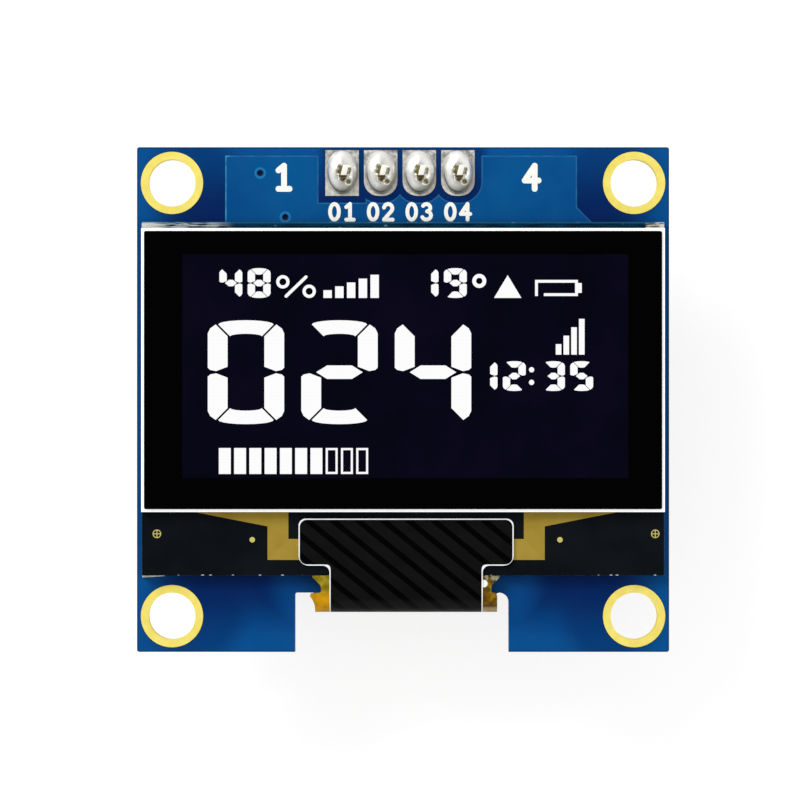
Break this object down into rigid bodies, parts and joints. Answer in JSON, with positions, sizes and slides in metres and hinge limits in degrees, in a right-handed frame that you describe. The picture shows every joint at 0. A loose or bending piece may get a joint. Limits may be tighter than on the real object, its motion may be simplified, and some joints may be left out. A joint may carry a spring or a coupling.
{
  "type": "small oled module",
  "caption": "Small monochrome display module: a lit glass panel on a blue circuit board with corner holes, a folded flexible circuit and a pin header.",
  "frame": {"origin": "centre of the four mounting holes, on the back face of the circuit board", "axes": "+Z out of the display, +Y towards the header edge, +X to the right as seen from the front"},
  "size_m": [0.035, 0.0332, 0.0114],
  "materials": {
    "solder_mask": "glossy blue solder mask over glass-fibre board, darker at the edges",
    "masked_copper": "the same blue mask over copper, so lighter and smoother",
    "white_print": "matt off-white screen print, slightly uneven",
    "gold_plating": "flat pale yellow gold plating",
    "tinned_pad": "tinned copper with a slightly dull grey sheen",
    "solder": "bright smooth solder with soft grey shading and flux tint",
    "pin_metal": "pale gold flash over square brass pins",
    "black_plastic": "moulded black nylon, matt with fine grain",
    "foam_tape": "thin double-sided tape with a pale foam edge",
    "dark_glass": "glass over a near-black metal film, with a pale ground edge",
    "clear_glass": "clear ground glass whose edge looks white",
    "seal_resin": "cured resin bead",
    "emitter": "thin dark blue layer stack",
    "black_film": "glossy black polarizing film",
    "lit_white": "evenly glowing white, split into fine dots",
    "gold_traces": "dull gold metal film in fine parallel lines",
    "bare_silicon": "polished bare silicon, grey and smooth",
    "amber_film": "translucent amber polyimide with copper lines inside",
    "black_coverlay": "matt black cover film with diagonal bands and a pale edge",
    "resistor_body": "black resistor face on white ceramic with tinned ends",
    "capacitor_body": "tan ceramic with tinned ends",
    "part_plastic": "black moulded epoxy with tinned leads"
  },
  "bodies": {
    "root": {"capacitor_1": "capacitor_body", "capacitor_2": "capacitor_body", "capacitor_3": "capacitor_body", "capacitor_4": "capacitor_body", "capacitor_5": "capacitor_body", "capacitor_6": "capacitor_body", "capacitor_7": "capacitor_body", "circuit_board": "solder_mask", "copper_back": "masked_copper", "copper_front": "masked_copper", "diode": "part_plastic", "driver_chip": "bare_silicon", "emitter_layer": "emitter", "flex_circuit": "amber_film", "flex_cover": "black_coverlay", "flex_solder": "solder", "front_glass": "clear_glass", "header_pad_1": "tinned_pad", "header_pad_2": "tinned_pad", "header_pad_3": "tinned_pad", "header_pad_4": "tinned_pad", "header_pin_1": "pin_metal", "header_pin_2": "pin_metal", "header_pin_3": "pin_metal", "header_pin_4": "pin_metal", "header_solder_1": "solder", "header_solder_2": "solder", "header_solder_3": "solder", "header_solder_4": "solder", "header_spacer": "black_plastic", "ledge_traces": "gold_traces", "lit_segments": "lit_white", "mounting_ring_1": "gold_plating", "mounting_ring_2": "gold_plating", "mounting_ring_3": "gold_plating", "mounting_ring_4": "gold_plating", "mounting_tape": "foam_tape", "panel_seal": "seal_resin", "parts_solder": "solder", "polarizer": "black_film", "rear_glass": "dark_glass", "regulator": "part_plastic", "resistor_1": "resistor_body", "resistor_2": "resistor_body", "resistor_3": "resistor_body", "resistor_4": "resistor_body", "resistor_5": "resistor_body", "silkscreen_back": "white_print", "silkscreen_front": "white_print"}
  },
  "joints": []
}
